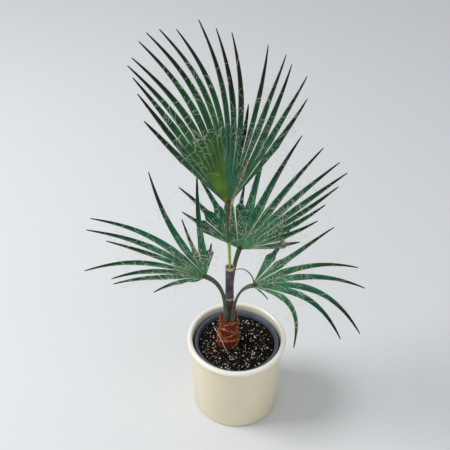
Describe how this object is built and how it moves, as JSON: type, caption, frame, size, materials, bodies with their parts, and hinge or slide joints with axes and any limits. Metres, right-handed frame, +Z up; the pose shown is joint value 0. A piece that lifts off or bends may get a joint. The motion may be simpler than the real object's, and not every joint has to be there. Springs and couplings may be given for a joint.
{
  "type": "potted mexican fan palm",
  "caption": "Young fan palm with pleated, half-split fan leaves on slim stalks and a short leaf-base trunk, standing in a round cream pot.",
  "frame": {"origin": "middle of the cover pot's flat underside", "axes": "+Z up along the pot's axis; the picture's camera looks along +Y and down"},
  "size_m": [0.5226, 0.2617, 0.8137],
  "materials": {
    "glaze": "cream gloss glaze",
    "liner": "dark moulded plastic",
    "soil": "moist peat mix with pale specks",
    "bark": "fibrous red-brown leaf bases",
    "sheath": "purple-brown with pale bloom",
    "stalk": "smooth green",
    "leaf": "semi-matt ribbed green"
  },
  "bodies": {
    "root": {"cover_pot": "glaze", "nursery_pot": "liner", "potting_soil": "soil", "trunk": "bark", "crown_sheath": "sheath", "stalk_main": "stalk", "stalk_upper_right": "stalk", "stalk_left": "stalk", "stalk_right": "stalk", "fan_main": "leaf", "fan_upper_right": "leaf", "fan_left": "leaf", "fan_right": "leaf"}
  },
  "joints": []
}
